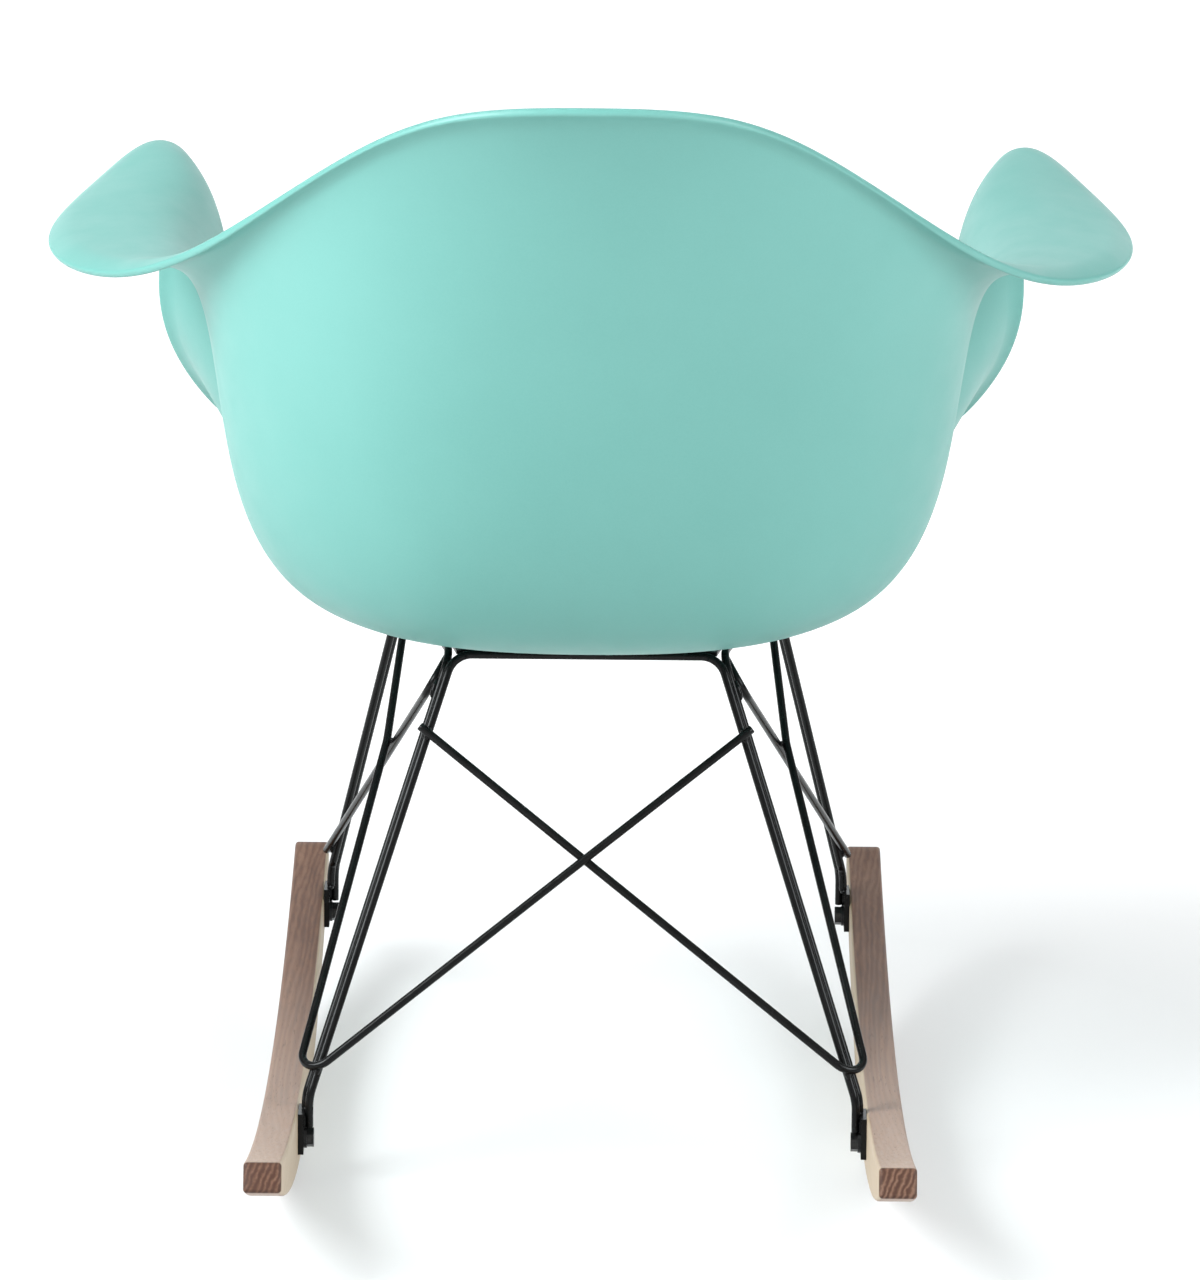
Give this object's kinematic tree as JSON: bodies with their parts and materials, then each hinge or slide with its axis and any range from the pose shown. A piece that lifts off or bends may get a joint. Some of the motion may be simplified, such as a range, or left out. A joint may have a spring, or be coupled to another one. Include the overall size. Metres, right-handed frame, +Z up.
{
  "type": "rocking armchair",
  "caption": "Moulded one-piece plastic armchair shell on a crossed bent-wire base with two curved wooden rockers.",
  "frame": {"origin": "on the floor, under the middle of the two rockers", "axes": "+Z up, the sitter faces -Y, +X to the sitter's left"},
  "size_m": [0.634, 0.6852, 0.6502],
  "materials": {
    "shell_plastic": "satin, fine mottle",
    "black_wire": "gloss black powder coat",
    "rocker_wood": "oiled walnut, lengthwise grain",
    "glide_plastic": "matte",
    "insert_brass": "plain",
    "screw_steel": "plain",
    "black_fastener": "black oxide, satin"
  },
  "bodies": {
    "root": {"front_hoop": "black_wire", "left_brace": "black_wire", "left_diagonal": "black_wire", "left_rocker": "rocker_wood", "left_side_hoop": "black_wire", "rear_hoop": "black_wire", "right_brace": "black_wire", "right_diagonal": "black_wire", "right_rocker": "rocker_wood", "right_side_hoop": "black_wire", "rocker_bolt_front_left": "black_fastener", "rocker_bolt_front_right": "black_fastener", "rocker_bolt_rear_left": "black_fastener", "rocker_bolt_rear_right": "black_fastener", "rocker_bracket_front_left": "black_wire", "rocker_bracket_front_right": "black_wire", "rocker_bracket_rear_left": "black_wire", "rocker_bracket_rear_right": "black_wire", "rocker_insert_front_left": "insert_brass", "rocker_insert_front_right": "insert_brass", "rocker_insert_rear_left": "insert_brass", "rocker_insert_rear_right": "insert_brass", "rocker_washer_front_left": "black_fastener", "rocker_washer_front_right": "black_fastener", "rocker_washer_rear_left": "black_fastener", "rocker_washer_rear_right": "black_fastener", "seat_glide_front_left": "glide_plastic", "seat_glide_front_right": "glide_plastic", "seat_glide_rear_left": "glide_plastic", "seat_glide_rear_right": "glide_plastic", "seat_insert_front_left": "insert_brass", "seat_insert_front_right": "insert_brass", "seat_insert_rear_left": "insert_brass", "seat_insert_rear_right": "insert_brass", "seat_plate_front_left": "black_wire", "seat_plate_front_right": "black_wire", "seat_plate_rear_left": "black_wire", "seat_plate_rear_right": "black_wire", "seat_screw_front_left": "screw_steel", "seat_screw_front_right": "screw_steel", "seat_screw_rear_left": "screw_steel", "seat_screw_rear_right": "screw_steel", "seat_shell": "shell_plastic"}
  },
  "joints": []
}
